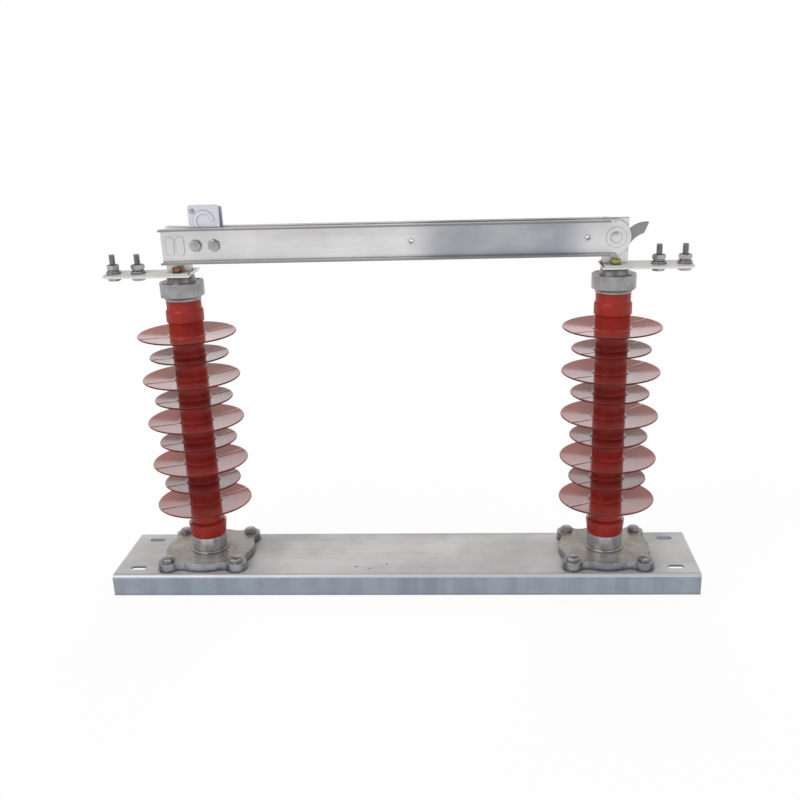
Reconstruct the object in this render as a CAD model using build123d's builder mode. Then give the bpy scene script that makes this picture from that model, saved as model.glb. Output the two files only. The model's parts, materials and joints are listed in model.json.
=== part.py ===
# Outdoor hook-stick disconnect switch for one pole of a 35 kV substation line.
# A folded steel channel carries two silicone-housed post insulators. The left one
# bears the fixed contact, the right one the hinge of a double-leaf blade, and each
# has a terminal bar with two studs for the line's cable lugs.
#
# Millimetres. The origin is the centre of the channel's underside, where it rests on
# its steelwork. +X runs along the blade to its hinge, +Y to the back, +Z up.

import os
from math import cos, hypot, isclose, radians, sin, sqrt

from build123d import *

os.makedirs("parts", exist_ok=True)

# Base channel, folded from sheet with its legs down
base_length = 1005
base_width = 168
base_height = 38
base_sheet = 4
base_bend_radius = 7
slot_length = 28
slot_width = 13
slot_end_inset = 37.5
slot_side_inset = 29

# Post insulators
insulator_spacing = 700
rubber_height = 421.9
column_radius = 26
neck_radius = 28.2
top_band_radius = 30.6
top_band_height = 21.4
top_band_drop = 14.8
cuff_bottom_radius = 30
cuff_radius = 33
cuff_height = 24.7
cuff_shoulder = 2.5
large_shed_radius = 80.5
small_shed_radius = 65
shed_rim = 2.6
shed_root = 7
large_shed_dish = 4.8
small_shed_dish = 3.3
large_shed_count = 5
first_shed_height = 64.4
shed_pitch = 75.1
small_shed_rise = 38
shed_root_fillet = 4
shed_rim_fillet = 1.2

# Foot flange of each insulator
flange_bolt_spacing_x = 120
flange_bolt_spacing_y = 116
flange_lug_radius = 17
flange_length = 141
flange_width = 130
flange_bulge_run = 62
flange_bulge = 7
flange_blend_radius = 8
flange_thickness = 14.5
flange_edge_fillet = 2
foot_ring_radius = 32.5
foot_ring_height = 3
foot_tube_radius = 30
foot_tube_height = 24.8

# Flange bolts
flange_bolt_radius = 6
flange_bolt_hole_clearance = 0.75
flange_bolt_flats = 18
flange_bolt_head = 6
flange_washer_radius = 10.8
flange_washer = 1.5
flange_nut = 10
flange_bolt_end = 4

# Metal cap on each insulator
cap_lip_radius = 29.5
cap_lip_height = 4
cap_cone_height = 3
cap_collar_radius = 35.5
cap_collar_height = 22.3
cap_ear_radius = 8.5
cap_ear_distance = 30
cap_ear_hole_radius = 4
cap_boss_bottom_radius = 24.5
cap_boss_top_radius = 21.5
cap_boss_height = 11

# Terminal bars
bar_width = 60
bar_thickness = 3.5
bar_outer_reach = 122.5
bar_inner_reach = 21.5
bar_lip_run = 4
bar_lip_rise = 5
bar_end_radius = 12
stud_radius = 5
stud_shank_radius = 4.8
stud_shank_above_nut = 0.6
stud_hole_clearance = 0.5
stud_first_reach = 69.5
stud_spacing = 41
stud_height = 30.8
stud_flats = 19
stud_head = 8
stud_nut = 8
stud_washer_radius = 11.8
stud_washer = 2
spring_washer_radius = 9
spring_washer = 2.6

# Upright contacts: two angles back to back on a core plate
angle_sheet = 2.5
core_plate = 6
angle_foot = 26
angle_bend_radius = 1
contact_width = 40.3
fixed_contact_below_leaf = 3.5
hinge_upright_above_leaf = 1.5
contact_bolt_y = 16.5
contact_bolt_radius = 4
contact_bolt_hole_clearance = 0.4
contact_bolt_flats = 13
contact_bolt_head = 5.5
contact_bolt_washer_radius = 7.6
contact_bolt_washer = 1.6
contact_lock_radius = 6.5
contact_lock_washer = 1.8
contact_bolt_reach = 18

# Blade
blade_height = 55.5
blade_sheet = 3
blade_lip = 13
blade_clearance = 1.5
blade_tip_reach = 21.5
blade_flare_run = 36
blade_flare = 5
web_end_beyond_pin = 23.2
lip_end_beyond_pin = 1
hinge_rise = 44
hinge_pin_radius = 6
hinge_pin_clearance = 0.06
hinge_pin_end = 3
hinge_pad_radius = 15.5
contact_pad_gap = 0.3
contact_pad_width = 5
contact_pad_height = 34
contact_pad_inset = 3.5
hinge_boss_proud = 1
hinge_head_flats = 15.5
hinge_head = 2.5
hinge_washer_radius = 13
hinge_washer = 2
hinge_nut = 9
hinge_nut_flats = 18
rib_width = 12
rib_height = 30
rib_proud = 1
rib_first = 7
rib_pitch = 16

# Bolts and spacers through both leaves
blade_bolt_radius = 5
blade_bolt_clearance = 0.3
blade_bolt_from_tip = 54.1
blade_bolt_spacing = 29.6
blade_bolt_flats = 16.4
blade_bolt_head = 5
blade_spring_radius = 8.5
blade_spring_height = 9
blade_bolt_nut = 8
blade_bolt_end = 3
spacer_radius = 7
spacer_tube_radius = 5
spacer_bore_radius = 3.1
spacer_proud = 0.8
spacer_from_pin = 44.2
spacer_spacing = 277.8

# Pull plates for the hook stick
pull_plate_margin = 11.4
pull_plate_width = 49.6
pull_plate_sheet = 3
pull_plate_rise = 35.7
pull_plate_tongue = 14.5
pull_plate_corner = 5
pull_plate_relief = 2
back_plate_shift = 3
back_plate_lower = 3
pull_ring_radius = 17
pull_ring_band = 5.5
pull_ring_proud = 1
pull_ring_drop = 25.5
pull_ring_gap_to = -60
pull_rivet_radius = 4
pull_rivet_proud = 1.5
pull_rivet_inset_x = 7.2
pull_rivet_inset_z = 9.5

# Stop fin beyond the hinge, measured from the hinge pin
fin_root_high = 9.7
fin_root_low = 15.8
fin_crest_reach = 35.8
fin_crest_rise = 19.9
fin_tip_reach = 51
fin_tip_rise = 21.5
fin_heel_reach = 44
fin_heel_rise = 4.4
fin_hollow_reach = 30.5
fin_hollow_drop = 2.8

# Derived places
insulator_x = insulator_spacing / 2
base_top = base_height
flange_top = base_top + flange_thickness
tube_top = flange_top + foot_ring_height + foot_tube_height
rubber_top = tube_top + rubber_height
collar_bottom = rubber_top + cap_lip_height + cap_cone_height
collar_top = collar_bottom + cap_collar_height
bar_bottom = collar_top + cap_boss_height
bar_top = bar_bottom + bar_thickness
hinge_x = insulator_x
hinge_z = bar_top + hinge_rise
angle_foot_top = bar_top + angle_sheet
stack_half = core_plate / 2 + angle_sheet
leaf_inner = stack_half + blade_clearance
leaf_outer = leaf_inner + blade_sheet
lip_outer = leaf_outer + blade_lip
leaf_bottom = hinge_z - blade_height / 2
leaf_top = hinge_z + blade_height / 2
pad_height = blade_clearance - contact_pad_gap
shed_zone_bottom = tube_top + first_shed_height
band_bottom = rubber_top - top_band_drop - top_band_height
neck_bottom = shed_zone_bottom + (large_shed_count - 1) * shed_pitch - large_shed_dish
fixed_contact_top = leaf_top - fixed_contact_below_leaf
hinge_upright_top = leaf_top + hinge_upright_above_leaf
blade_tip = insulator_x + blade_tip_reach
blade_flare_start = blade_tip - blade_flare_run


def hexagon_radius(flats):
    # Radius over the corners of a hexagon with this width across its flats
    return flats / sqrt(3)


# ---------------------------------------------------------------- base channel
with BuildPart() as base_channel:
    with BuildSketch(Plane.YZ.offset(-base_length / 2)) as channel_profile:
        with Locations((0, base_height / 2)):
            Rectangle(base_width, base_height)
        with Locations((0, (base_height - base_sheet) / 2)):
            Rectangle(base_width - 2 * base_sheet, base_height - base_sheet, mode=Mode.SUBTRACT)
        fillet(channel_profile.vertices().group_by(Axis.Y)[-2], base_bend_radius - base_sheet)
        fillet(channel_profile.vertices().group_by(Axis.Y)[-1], base_bend_radius)
    extrude(amount=base_length)
    with BuildSketch(Plane.XY.offset(base_top)):
        slot_spacing_x = base_length - 2 * slot_end_inset
        slot_spacing_y = base_width - 2 * slot_side_inset
        with GridLocations(slot_spacing_x, slot_spacing_y, 2, 2):
            SlotOverall(slot_length, slot_width)
        with GridLocations(insulator_spacing, 0, 2, 1):
            with GridLocations(flange_bolt_spacing_x, flange_bolt_spacing_y, 2, 2):
                Circle(flange_bolt_radius + flange_bolt_hole_clearance)
    extrude(amount=-base_bend_radius, mode=Mode.SUBTRACT)
base_channel.part.label = "base_channel"
export_step(base_channel.part, "parts/base_channel.step")

# ------------------------------------------- both insulators with their fittings
for side, direction in (("left", -1), ("right", 1)):
    post_x = direction * insulator_x
    post_axis = Axis((post_x, 0, 0), (0, 0, 1))
    post_plane = Plane(origin=(post_x, 0, 0), x_dir=(1, 0, 0), z_dir=(0, -1, 0))

    # Flange with a lug at each corner and a bulge on each side, ring and tube, one casting
    with BuildPart() as foot_flange:
        with BuildSketch(Plane(origin=(post_x, 0, base_top))) as flange_outline:
            half_x = flange_length / 2
            half_y = flange_width / 2
            run = flange_bulge_run / 2
            with BuildLine():
                for end in (-1, 1):
                    ThreePointArc(
                        (end * half_x, -end * run),
                        (end * (half_x + flange_bulge), 0),
                        (end * half_x, end * run),
                    )
                    Polyline(
                        (end * half_x, end * run),
                        (end * half_x, end * half_y),
                        (end * run, end * half_y),
                    )
                    ThreePointArc(
                        (end * run, end * half_y),
                        (0, end * (half_y + flange_bulge)),
                        (-end * run, end * half_y),
                    )
                    Polyline(
                        (-end * run, end * half_y),
                        (-end * half_x, end * half_y),
                        (-end * half_x, end * run),
                    )
            make_face()
            with GridLocations(flange_bolt_spacing_x, flange_bolt_spacing_y, 2, 2):
                Circle(flange_lug_radius)
            notches = flange_outline.vertices().filter_by(
                lambda v: isclose(abs(v.X), half_x) or isclose(abs(v.Y), half_y)
            )
            fillet(notches, flange_blend_radius)
            with GridLocations(flange_bolt_spacing_x, flange_bolt_spacing_y, 2, 2):
                Circle(flange_bolt_radius + flange_bolt_hole_clearance, mode=Mode.SUBTRACT)
        extrude(amount=flange_thickness)
        with BuildSketch(Plane.XY.offset(flange_top)):
            with Locations((post_x, 0)):
                Circle(foot_ring_radius)
        extrude(amount=foot_ring_height)
        with BuildSketch(Plane.XY.offset(flange_top + foot_ring_height)):
            with Locations((post_x, 0)):
                Circle(foot_tube_radius)
        extrude(amount=foot_tube_height)
        ring_edge = foot_flange.edges().filter_by(
            lambda e: e.geom_type == GeomType.CIRCLE and isclose(e.radius, foot_ring_radius)
        ).sort_by(Axis.Z)[-1]
        fillet(ring_edge, flange_edge_fillet)
    foot_flange.part.label = f"{side}_foot_flange"
    export_step(foot_flange.part, f"parts/{side}_foot_flange.step")

    # Four bolts, each a head on its washer, a shank and a nut under the channel's sheet
    with BuildPart() as flange_bolts:
        sheet_underside = base_top - base_sheet
        head_bottom = flange_top + flange_washer
        nut_bottom = sheet_underside - flange_nut
        with BuildSketch(Plane.XY.offset(nut_bottom - flange_bolt_end)):
            with Locations((post_x, 0)):
                with GridLocations(flange_bolt_spacing_x, flange_bolt_spacing_y, 2, 2):
                    Circle(flange_bolt_radius)
        extrude(amount=head_bottom - nut_bottom + flange_bolt_end)
        with BuildSketch(Plane.XY.offset(flange_top)):
            with Locations((post_x, 0)):
                with GridLocations(flange_bolt_spacing_x, flange_bolt_spacing_y, 2, 2):
                    Circle(flange_washer_radius)
        extrude(amount=flange_washer)
        for start, height in ((head_bottom, flange_bolt_head), (nut_bottom, flange_nut)):
            with BuildSketch(Plane.XY.offset(start)):
                with Locations((post_x, 0)):
                    with GridLocations(flange_bolt_spacing_x, flange_bolt_spacing_y, 2, 2):
                        RegularPolygon(hexagon_radius(flange_bolt_flats), 6)
            extrude(amount=height)
    flange_bolts.part.label = f"{side}_flange_bolts"
    export_step(flange_bolts.part, f"parts/{side}_flange_bolts.step")

    # Silicone housing with alternating large and small sheds, turned about its axis
    with BuildPart() as housing:
        with BuildSketch(post_plane) as housing_profile:
            column_bottom = tube_top + cuff_height + cuff_shoulder
            with BuildLine():
                Polyline(
                    (0, tube_top),
                    (cuff_bottom_radius, tube_top),
                    (cuff_radius, tube_top + cuff_height),
                    (column_radius, column_bottom),
                    (column_radius, neck_bottom),
                    (neck_radius, neck_bottom),
                    (neck_radius, band_bottom),
                    (top_band_radius, band_bottom),
                    (top_band_radius, band_bottom + top_band_height),
                    (neck_radius, band_bottom + top_band_height),
                    (neck_radius, rubber_top),
                    (0, rubber_top),
                    (0, tube_top),
                )
            make_face()
            root_heights = []
            for k in range(2 * large_shed_count - 1):
                is_large = k % 2 == 0
                rim_radius = large_shed_radius if is_large else small_shed_radius
                dish = large_shed_dish if is_large else small_shed_dish
                rise = (k // 2) * shed_pitch + (0 if is_large else small_shed_rise)
                rim_z = shed_zone_bottom + rise
                root_top = rim_z + shed_rim / 2 - dish
                root_heights += [root_top, root_top - shed_root]
                with BuildLine():
                    Polyline(
                        (0, root_top - shed_root),
                        (column_radius, root_top - shed_root),
                        (rim_radius, rim_z - shed_rim / 2),
                        (rim_radius, rim_z + shed_rim / 2),
                        (column_radius, root_top),
                        (0, root_top),
                        (0, root_top - shed_root),
                    )
                make_face()
            roots = housing_profile.vertices().filter_by(
                lambda v: column_radius - 0.01 < v.X < neck_radius + 0.01
                and min(abs(v.Y - height) for height in root_heights) < 1
            )
            fillet(roots, shed_root_fillet)
            rims = housing_profile.vertices().filter_by(lambda v: v.X > small_shed_radius - 1)
            fillet(rims, shed_rim_fillet)
        revolve(axis=post_axis)
    housing.part.label = f"{side}_insulator_housing"
    export_step(housing.part, f"parts/{side}_insulator_housing.step")

    # Cap: crimped lip, collar with four drilled ears, tapered boss for the bar
    with BuildPart() as top_cap:
        with BuildSketch(Plane.XY.offset(rubber_top)):
            with Locations((post_x, 0)):
                Circle(cap_lip_radius)
        extrude(amount=cap_lip_height)
        with BuildSketch(Plane.XY.offset(rubber_top + cap_lip_height)):
            with Locations((post_x, 0)):
                Circle(cap_lip_radius)
        with BuildSketch(Plane.XY.offset(collar_bottom)):
            with Locations((post_x, 0)):
                Circle(cap_collar_radius)
        loft()
        with BuildSketch(Plane.XY.offset(collar_bottom)):
            with Locations((post_x, 0)):
                Circle(cap_collar_radius)
                with PolarLocations(cap_ear_distance, 4, start_angle=45):
                    Circle(cap_ear_radius)
        extrude(amount=cap_collar_height)
        with BuildSketch(Plane.XY.offset(collar_top)):
            with Locations((post_x, 0)):
                with PolarLocations(cap_ear_distance, 4, start_angle=45):
                    Circle(cap_ear_hole_radius)
        extrude(amount=-cap_collar_height, mode=Mode.SUBTRACT)
        with BuildSketch(Plane.XY.offset(collar_top)):
            with Locations((post_x, 0)):
                Circle(cap_boss_bottom_radius)
        with BuildSketch(Plane.XY.offset(bar_bottom)):
            with Locations((post_x, 0)):
                Circle(cap_boss_top_radius)
        loft()
        with BuildSketch(Plane.XY.offset(bar_bottom)):
            with Locations((post_x, -contact_bolt_y), (post_x, contact_bolt_y)):
                Circle(contact_bolt_radius)
        extrude(amount=-contact_bolt_reach, mode=Mode.SUBTRACT)
    top_cap.part.label = f"{side}_top_cap"
    export_step(top_cap.part, f"parts/{side}_top_cap.step")

    # Terminal bar: flat bar with rounded outer corners and a turned-up inner edge
    inner_x = post_x - direction * bar_inner_reach
    outer_x = post_x + direction * bar_outer_reach
    stud_x = post_x + direction * (stud_first_reach + stud_spacing / 2)
    with BuildPart() as terminal_bar:
        with BuildSketch(Plane.XZ.offset(-bar_width / 2)):
            with BuildLine():
                Polyline(
                    (outer_x, bar_bottom),
                    (inner_x, bar_bottom),
                    (inner_x - direction * bar_lip_run, bar_top + bar_lip_rise),
                    (inner_x, bar_top),
                    (outer_x, bar_top),
                    (outer_x, bar_bottom),
                )
            make_face()
        extrude(amount=bar_width)
        outer_edges = terminal_bar.edges().filter_by(Axis.Z).filter_by(
            lambda e: isclose(e.center().X, outer_x)
        )
        fillet(outer_edges, bar_end_radius)
        with BuildSketch(Plane.XY.offset(bar_bottom)):
            with Locations((stud_x, 0)):
                with GridLocations(stud_spacing, 0, 2, 1):
                    Circle(stud_radius + stud_hole_clearance)
            with Locations((post_x, 0)):
                with GridLocations(0, 2 * contact_bolt_y, 1, 2):
                    Circle(contact_bolt_radius + contact_bolt_hole_clearance)
        extrude(amount=bar_thickness, mode=Mode.SUBTRACT)
    terminal_bar.part.label = f"{side}_terminal_bar"
    export_step(terminal_bar.part, f"parts/{side}_terminal_bar.step")

    # Terminal bolts, heads below the bar
    with BuildPart() as terminal_bolts:
        with BuildSketch(Plane.XY.offset(bar_bottom - stud_head)):
            with Locations((stud_x, 0)):
                with GridLocations(stud_spacing, 0, 2, 1):
                    RegularPolygon(hexagon_radius(stud_flats), 6)
        extrude(amount=stud_head)
        nut_top = bar_top + 2 * stud_washer + spring_washer + stud_nut
        thread_start = nut_top + stud_shank_above_nut
        with BuildSketch(Plane.XY.offset(bar_bottom)):
            with Locations((stud_x, 0)):
                with GridLocations(stud_spacing, 0, 2, 1):
                    Circle(stud_shank_radius)
        extrude(amount=thread_start - bar_bottom)
        with BuildSketch(Plane.XY.offset(thread_start)):
            with Locations((stud_x, 0)):
                with GridLocations(stud_spacing, 0, 2, 1):
                    Circle(stud_radius)
        extrude(amount=bar_top + stud_height - thread_start)
    terminal_bolts.part.label = f"{side}_terminal_bolts"
    export_step(terminal_bolts.part, f"parts/{side}_terminal_bolts.step")

    # Flat washers on the bar
    with BuildPart() as terminal_washers:
        with BuildSketch(Plane.XY.offset(bar_top)):
            with Locations((stud_x, 0)):
                with GridLocations(stud_spacing, 0, 2, 1):
                    Circle(stud_washer_radius)
                    Circle(stud_shank_radius, mode=Mode.SUBTRACT)
        extrude(amount=2 * stud_washer)
    terminal_washers.part.label = f"{side}_terminal_washers"
    export_step(terminal_washers.part, f"parts/{side}_terminal_washers.step")

    # Nuts with their spring washers
    with BuildPart() as terminal_nuts:
        spring_bottom = bar_top + 2 * stud_washer
        with BuildSketch(Plane.XY.offset(spring_bottom)):
            with Locations((stud_x, 0)):
                with GridLocations(stud_spacing, 0, 2, 1):
                    Circle(spring_washer_radius)
                    Circle(stud_shank_radius, mode=Mode.SUBTRACT)
        extrude(amount=spring_washer)
        with BuildSketch(Plane.XY.offset(spring_bottom + spring_washer)):
            with Locations((stud_x, 0)):
                with GridLocations(stud_spacing, 0, 2, 1):
                    RegularPolygon(hexagon_radius(stud_flats), 6)
                    Circle(stud_shank_radius, mode=Mode.SUBTRACT)
        extrude(amount=stud_nut)
    terminal_nuts.part.label = f"{side}_terminal_nuts"
    export_step(terminal_nuts.part, f"parts/{side}_terminal_nuts.step")

    # Two angles back to back on the core plate, with their feet on the bar
    is_hinge = direction == 1
    upright_top = hinge_upright_top if is_hinge else fixed_contact_top
    upright_name = "hinge" if is_hinge else "contact"
    for face, facing in (("front", -1), ("back", 1)):
        heel_y = facing * core_plate / 2
        outer_y = facing * stack_half
        toe_y = outer_y + facing * (angle_foot - angle_sheet)
        with BuildPart() as angle:
            with BuildSketch(Plane.YZ.offset(post_x - contact_width / 2)) as angle_profile:
                with BuildLine():
                    Polyline(
                        (heel_y, bar_top),
                        (toe_y, bar_top),
                        (toe_y, angle_foot_top),
                        (outer_y, angle_foot_top),
                        (outer_y, upright_top),
                        (heel_y, upright_top),
                        (heel_y, bar_top),
                    )
                make_face()
                bend = angle_profile.vertices().filter_by(
                    lambda v: isclose(v.X, outer_y) and isclose(v.Y, angle_foot_top)
                )
                fillet(bend, angle_bend_radius)
            extrude(amount=contact_width)
            with BuildSketch(Plane.XY.offset(bar_top)):
                with Locations((post_x, facing * contact_bolt_y)):
                    Circle(contact_bolt_radius + contact_bolt_hole_clearance)
            extrude(amount=angle_sheet, mode=Mode.SUBTRACT)
            if is_hinge:
                with BuildSketch(Plane.XZ.offset(-stack_half)):
                    with Locations((hinge_x, hinge_z)):
                        Circle(hinge_pin_radius + hinge_pin_clearance)
                extrude(amount=2 * stack_half, mode=Mode.SUBTRACT)
        angle.part.label = f"{upright_name}_angle_{face}"
        export_step(angle.part, f"parts/{upright_name}_angle_{face}.step")

    # Core plate between the two angles; the hinge's one runs on as the stop fin
    with BuildPart() as core:
        with BuildSketch(Plane.XZ.offset(-core_plate / 2)):
            with Locations((post_x, (bar_top + upright_top) / 2)):
                Rectangle(contact_width, upright_top - bar_top)
            if is_hinge:
                fin_root_x = post_x + contact_width / 2
                fin_tip = (hinge_x + fin_tip_reach, hinge_z + fin_tip_rise)
                fin_heel = (hinge_x + fin_heel_reach, hinge_z + fin_heel_rise)
                fin_crest = (hinge_x + fin_crest_reach, hinge_z + fin_crest_rise)
                fin_hollow = (hinge_x + fin_hollow_reach, hinge_z - fin_hollow_drop)
                with BuildLine():
                    ThreePointArc((fin_root_x, hinge_z + fin_root_high), fin_crest, fin_tip)
                    Line(fin_tip, fin_heel)
                    ThreePointArc(fin_heel, fin_hollow, (fin_root_x, hinge_z - fin_root_low))
                    Polyline(
                        (fin_root_x, hinge_z - fin_root_low),
                        (post_x, hinge_z - fin_root_low),
                        (post_x, hinge_z + fin_root_high),
                        (fin_root_x, hinge_z + fin_root_high),
                    )
                make_face()
                with Locations((hinge_x, hinge_z)):
                    Circle(hinge_pin_radius + hinge_pin_clearance, mode=Mode.SUBTRACT)
        extrude(amount=core_plate)
    core.part.label = f"{upright_name}_core_plate"
    export_step(core.part, f"parts/{upright_name}_core_plate.step")

    # Bolts that hold the angles and the bar down on the cap
    with BuildPart() as contact_bolts:
        lock_bottom = angle_foot_top + contact_bolt_washer
        head_bottom = lock_bottom + contact_lock_washer
        with BuildSketch(Plane.XY.offset(bar_bottom - contact_bolt_reach)):
            with Locations((post_x, 0)):
                with GridLocations(0, 2 * contact_bolt_y, 1, 2):
                    Circle(contact_bolt_radius)
        extrude(amount=head_bottom - bar_bottom + contact_bolt_reach)
        with BuildSketch(Plane.XY.offset(angle_foot_top)):
            with Locations((post_x, 0)):
                with GridLocations(0, 2 * contact_bolt_y, 1, 2):
                    Circle(contact_bolt_washer_radius)
        extrude(amount=contact_bolt_washer)
        with BuildSketch(Plane.XY.offset(lock_bottom)):
            with Locations((post_x, 0)):
                with GridLocations(0, 2 * contact_bolt_y, 1, 2):
                    Circle(contact_lock_radius)
        extrude(amount=contact_lock_washer)
        with BuildSketch(Plane.XY.offset(head_bottom)):
            with Locations((post_x, 0)):
                with GridLocations(0, 2 * contact_bolt_y, 1, 2):
                    RegularPolygon(hexagon_radius(contact_bolt_flats), 6)
        extrude(amount=contact_bolt_head)
    contact_bolts.part.label = f"{upright_name}_hold_down_bolts"
    export_step(contact_bolts.part, f"parts/{upright_name}_hold_down_bolts.step")

# ------------------------------------------------------------------------ blade
bolt_xs = (blade_bolt_spacing + blade_bolt_from_tip - blade_tip, blade_bolt_from_tip - blade_tip)
spacer_xs = (hinge_x - spacer_from_pin, hinge_x - spacer_from_pin - spacer_spacing)
flare_length = hypot(blade_flare_run, blade_flare)
flare_cos = blade_flare_run / flare_length
flare_sin = blade_flare / flare_length
lip_end = hinge_x + lip_end_beyond_pin

# Two leaves, each a channel with its lips turned outwards and its tip flared
for face, facing in (("front", -1), ("back", 1)):
    inner_y = facing * leaf_inner
    outer_y = facing * leaf_outer
    lip_y = facing * lip_outer
    flare_y = facing * blade_flare
    web_end = hinge_x + web_end_beyond_pin
    round_x = web_end - blade_height / 2
    # Sketches for discs and ribs lie on the leaf's faces and grow away from the leaf
    outer_plane = Plane(origin=(0, outer_y, 0), x_dir=(1, 0, 0), z_dir=(0, facing, 0))
    inner_plane = Plane(origin=(0, inner_y, 0), x_dir=(1, 0, 0), z_dir=(0, -facing, 0))
    flare_plane = Plane(
        origin=(-blade_flare_start, outer_y, hinge_z),
        x_dir=(-flare_cos, facing * flare_sin, 0),
        z_dir=(flare_sin, facing * flare_cos, 0),
    )
    with BuildPart() as leaf:
        with BuildSketch(Plane.XY.offset(leaf_bottom)):
            with BuildLine():
                Polyline(
                    (web_end, inner_y),
                    (-blade_flare_start, inner_y),
                    (-blade_tip, inner_y + flare_y),
                    (-blade_tip, outer_y + flare_y),
                    (-blade_flare_start, outer_y),
                    (web_end, outer_y),
                    (web_end, inner_y),
                )
            make_face()
        extrude(amount=blade_height)
        with BuildSketch(Plane.XZ):
            with Locations(((round_x - blade_tip) / 2, hinge_z)):
                Rectangle(round_x + blade_tip, blade_height)
            with Locations((round_x, hinge_z)):
                Circle(blade_height / 2)
        extrude(amount=lip_outer, both=True, mode=Mode.INTERSECT)
        for lip_z in (leaf_bottom, leaf_top - blade_sheet):
            with BuildSketch(Plane.XY.offset(lip_z)):
                with BuildLine():
                    Polyline(
                        (lip_end, outer_y),
                        (-blade_flare_start, outer_y),
                        (-blade_tip, outer_y + flare_y),
                        (-blade_tip, lip_y + flare_y),
                        (-blade_flare_start, lip_y),
                        (lip_end - blade_lip, lip_y),
                        (lip_end, outer_y),
                    )
                make_face()
            extrude(amount=blade_sheet)
        with BuildSketch(outer_plane):
            with Locations(outer_plane.to_local_coords(Vector(hinge_x, outer_y, hinge_z))):
                Circle(hinge_pad_radius)
        extrude(amount=hinge_boss_proud)
        with BuildSketch(inner_plane):
            with Locations(inner_plane.to_local_coords(Vector(hinge_x, inner_y, hinge_z))):
                Circle(hinge_pad_radius)
            pad_x = -insulator_x + contact_width / 2 - contact_pad_inset
            with Locations(inner_plane.to_local_coords(Vector(pad_x, inner_y, hinge_z))):
                Rectangle(contact_pad_width, contact_pad_height)
        extrude(amount=pad_height)
        with BuildSketch(flare_plane):
            with Locations((rib_first, 0), (rib_first + rib_pitch, 0)):
                SlotOverall(rib_height, rib_width, rotation=90)
        extrude(amount=rib_proud)
        with BuildSketch(Plane.XZ):
            with Locations((hinge_x, hinge_z)):
                Circle(hinge_pin_radius)
            with Locations(*((x, hinge_z) for x in bolt_xs)):
                Circle(blade_bolt_radius + blade_bolt_clearance)
            with Locations(*((x, hinge_z) for x in spacer_xs)):
                Circle(spacer_tube_radius)
        extrude(amount=lip_outer, both=True, mode=Mode.SUBTRACT)
    leaf.part.label = f"blade_leaf_{face}"
    export_step(leaf.part, f"parts/blade_leaf_{face}.step")

# Hinge pin with a low hexagonal head at the front
pin_front = leaf_outer + hinge_boss_proud
with BuildPart() as hinge_pin:
    with BuildSketch(Plane.XZ.offset(pin_front)):
        with Locations((hinge_x, hinge_z)):
            RegularPolygon(hexagon_radius(hinge_head_flats), 6)
    extrude(amount=hinge_head)
    with BuildSketch(Plane.XZ.offset(pin_front)):
        with Locations((hinge_x, hinge_z)):
            Circle(hinge_pin_radius)
    extrude(amount=-(2 * pin_front + hinge_washer + hinge_nut + hinge_pin_end))
hinge_pin.part.label = "hinge_pin"
export_step(hinge_pin.part, "parts/hinge_pin.step")

with BuildPart() as hinge_nut_set:
    with BuildSketch(Plane.XZ.offset(-pin_front)):
        with Locations((hinge_x, hinge_z)):
            Circle(hinge_washer_radius)
            Circle(hinge_pin_radius, mode=Mode.SUBTRACT)
    extrude(amount=-hinge_washer)
    with BuildSketch(Plane.XZ.offset(-pin_front - hinge_washer)):
        with Locations((hinge_x, hinge_z)):
            RegularPolygon(hexagon_radius(hinge_nut_flats), 6)
            Circle(hinge_pin_radius, mode=Mode.SUBTRACT)
    extrude(amount=-hinge_nut)
hinge_nut_set.part.label = "hinge_nut"
export_step(hinge_nut_set.part, "parts/hinge_nut.step")

# Two bolts that press the leaves together near the tip, with springs at the back
with BuildPart() as blade_bolts:
    for x, turn in zip(bolt_xs, (30, 0)):
        with BuildSketch(Plane.XZ.offset(leaf_outer)):
            with Locations((x, hinge_z)):
                RegularPolygon(hexagon_radius(blade_bolt_flats), 6, rotation=turn)
        extrude(amount=blade_bolt_head)
    with BuildSketch(Plane.XZ.offset(leaf_outer)):
        with Locations(*((x, hinge_z) for x in bolt_xs)):
            Circle(blade_bolt_radius)
    extrude(amount=-(2 * leaf_outer + blade_spring_height + blade_bolt_nut + blade_bolt_end))
blade_bolts.part.label = "blade_pressure_bolts"
export_step(blade_bolts.part, "parts/blade_pressure_bolts.step")

with BuildPart() as blade_nuts:
    with BuildSketch(Plane.XZ.offset(-leaf_outer)):
        with Locations(*((x, hinge_z) for x in bolt_xs)):
            Circle(blade_spring_radius)
            Circle(blade_bolt_radius, mode=Mode.SUBTRACT)
    extrude(amount=-blade_spring_height)
    with BuildSketch(Plane.XZ.offset(-leaf_outer - blade_spring_height)):
        with Locations(*((x, hinge_z) for x in bolt_xs)):
            RegularPolygon(hexagon_radius(blade_bolt_flats), 6)
            Circle(blade_bolt_radius, mode=Mode.SUBTRACT)
    extrude(amount=-blade_bolt_nut)
blade_nuts.part.label = "blade_pressure_nuts"
export_step(blade_nuts.part, "parts/blade_pressure_nuts.step")

# Hollow riveted spacers between the leaves
for spacer_name, x in zip(("hinge_end_spacer", "middle_spacer"), spacer_xs):
    with BuildPart() as spacer:
        with BuildSketch(Plane.XZ):
            with Locations((x, hinge_z)):
                Circle(spacer_radius)
        extrude(amount=leaf_inner, both=True)
        with BuildSketch(Plane.XZ):
            with Locations((x, hinge_z)):
                Circle(spacer_tube_radius)
        extrude(amount=leaf_outer + spacer_proud, both=True)
        with BuildSketch(Plane.XZ):
            with Locations((x, hinge_z)):
                Circle(spacer_bore_radius)
        extrude(amount=leaf_outer + spacer_proud, both=True, mode=Mode.SUBTRACT)
    spacer.part.label = spacer_name
    export_step(spacer.part, f"parts/{spacer_name}.step")

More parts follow.
